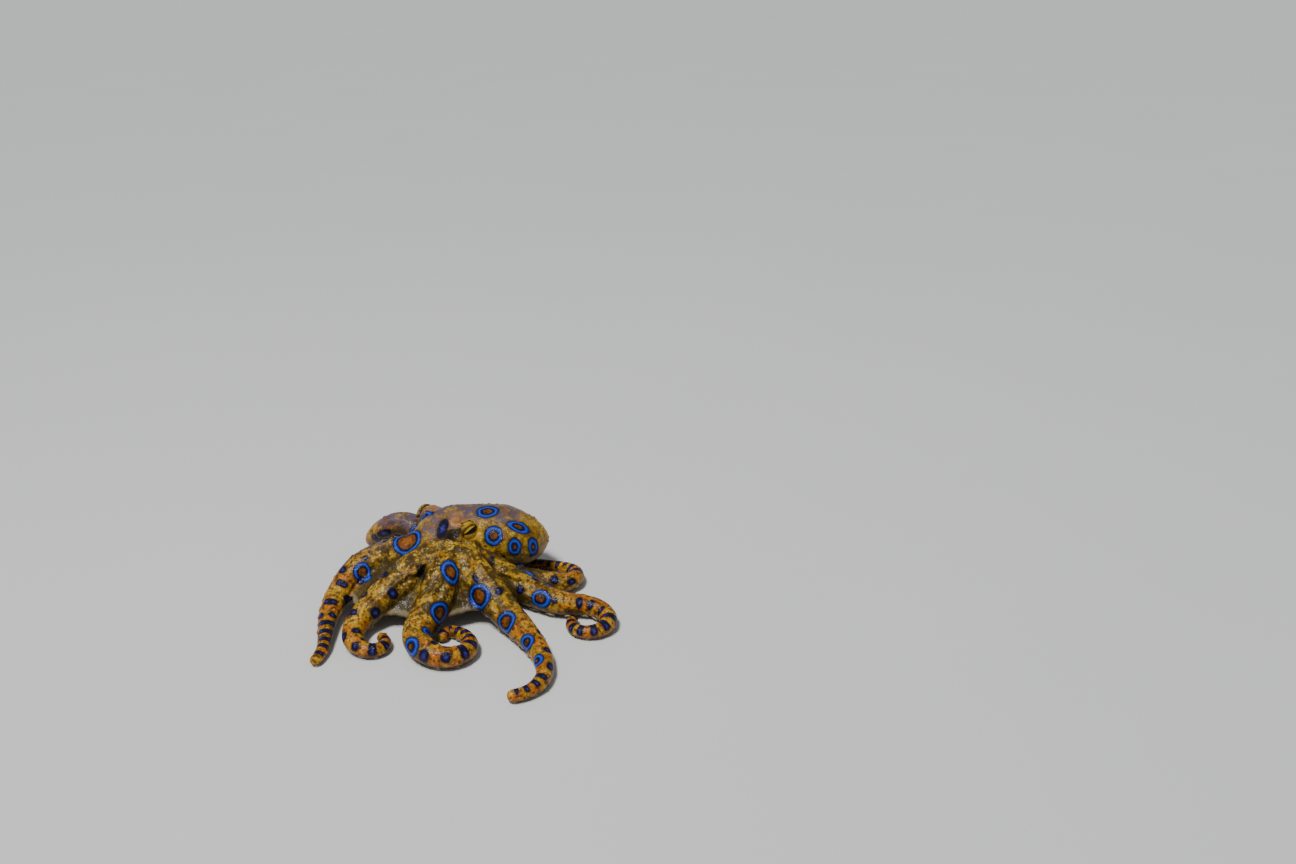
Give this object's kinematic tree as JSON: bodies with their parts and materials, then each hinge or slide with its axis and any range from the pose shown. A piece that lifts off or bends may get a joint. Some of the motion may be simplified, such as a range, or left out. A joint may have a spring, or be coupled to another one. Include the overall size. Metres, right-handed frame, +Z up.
{
  "type": "blue ringed octopus",
  "caption": "A blue ringed octopus at rest, its arms spread and curling on the floor, with the mantle held up behind the eyes.",
  "frame": {"origin": "middle of the footprint, on the floor that the arms rest on", "axes": "+Z up, +Y along the longest way across the arms, +X along the mantle towards its tip"},
  "size_m": [0.0568, 0.0638, 0.0155],
  "materials": {
    "skin": "wet satin",
    "eye": "gloss"
  },
  "bodies": {
    "root": {"arm_left_1_root": "skin", "arm_left_2_root": "skin", "arm_left_3_root": "skin", "arm_left_4_root": "skin", "arm_right_4_root": "skin", "arm_right_3_root": "skin", "arm_right_2_root": "skin", "arm_right_1_root": "skin", "arm_left_1_upper": "skin", "arm_left_1_middle": "skin", "arm_left_1_lower": "skin", "arm_left_1_end": "skin", "arm_left_2_upper": "skin", "arm_left_2_middle": "skin", "arm_left_2_lower": "skin", "arm_left_2_end": "skin", "arm_left_3_upper": "skin", "arm_left_3_middle": "skin", "arm_left_3_lower": "skin", "arm_left_3_end": "skin", "arm_left_4_upper": "skin", "arm_left_4_middle": "skin", "arm_left_4_lower": "skin", "arm_left_4_end": "skin", "arm_right_1_upper": "skin", "arm_right_1_middle": "skin", "arm_right_1_lower": "skin", "arm_right_1_end": "skin", "arm_right_2_upper": "skin", "arm_right_2_middle": "skin", "arm_right_2_lower": "skin", "arm_right_2_end": "skin", "arm_right_3_upper": "skin", "arm_right_3_middle": "skin", "arm_right_3_lower": "skin", "arm_right_3_end": "skin", "arm_right_4_upper": "skin", "arm_right_4_middle": "skin", "arm_right_4_lower": "skin", "arm_right_4_end": "skin", "eye_left": "eye", "eye_right": "eye", "head": "skin", "mantle": "skin", "funnel": "skin"}
  },
  "joints": []
}
